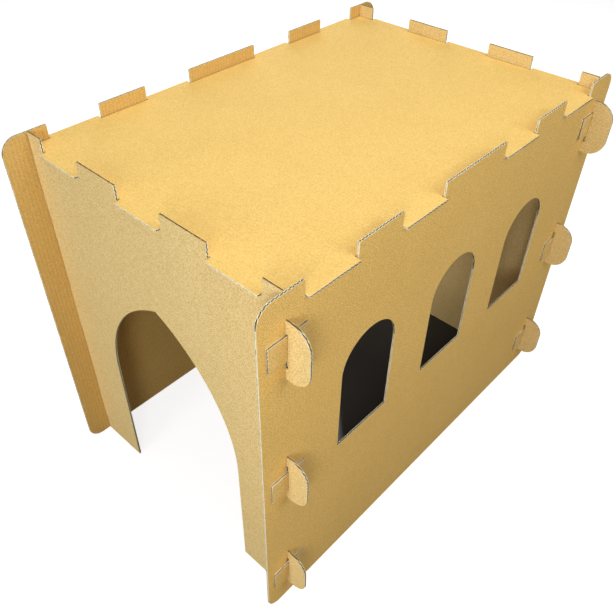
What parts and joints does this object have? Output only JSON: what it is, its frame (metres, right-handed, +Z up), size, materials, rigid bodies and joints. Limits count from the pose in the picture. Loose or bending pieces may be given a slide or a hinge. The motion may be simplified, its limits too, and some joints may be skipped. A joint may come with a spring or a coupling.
{
  "type": "cardboard castle",
  "caption": "Slot-together corrugated cardboard play castle with a pointed door, arched windows, battlements, a flat roof and locking keys.",
  "frame": {"origin": "centre of the castle's footprint, on the floor", "axes": "+X across the castle, +Y from the door end to the back end, +Z up"},
  "size_m": [0.848, 1.2, 0.955],
  "materials": {
    "kraft_board": "uncoated brown kraft liner, cut edges show the flutes"
  },
  "bodies": {
    "root": {"right_wall": "kraft_board", "left_wall": "kraft_board", "front_wall": "kraft_board", "back_wall": "kraft_board", "roof": "kraft_board", "key_front_left_low": "kraft_board", "key_front_left_mid": "kraft_board", "key_front_left_top": "kraft_board", "key_front_right_low": "kraft_board", "key_front_right_mid": "kraft_board", "key_front_right_top": "kraft_board", "key_back_left_low": "kraft_board", "key_back_left_mid": "kraft_board", "key_back_left_top": "kraft_board", "key_back_right_low": "kraft_board", "key_back_right_mid": "kraft_board", "key_back_right_top": "kraft_board"}
  },
  "joints": []
}
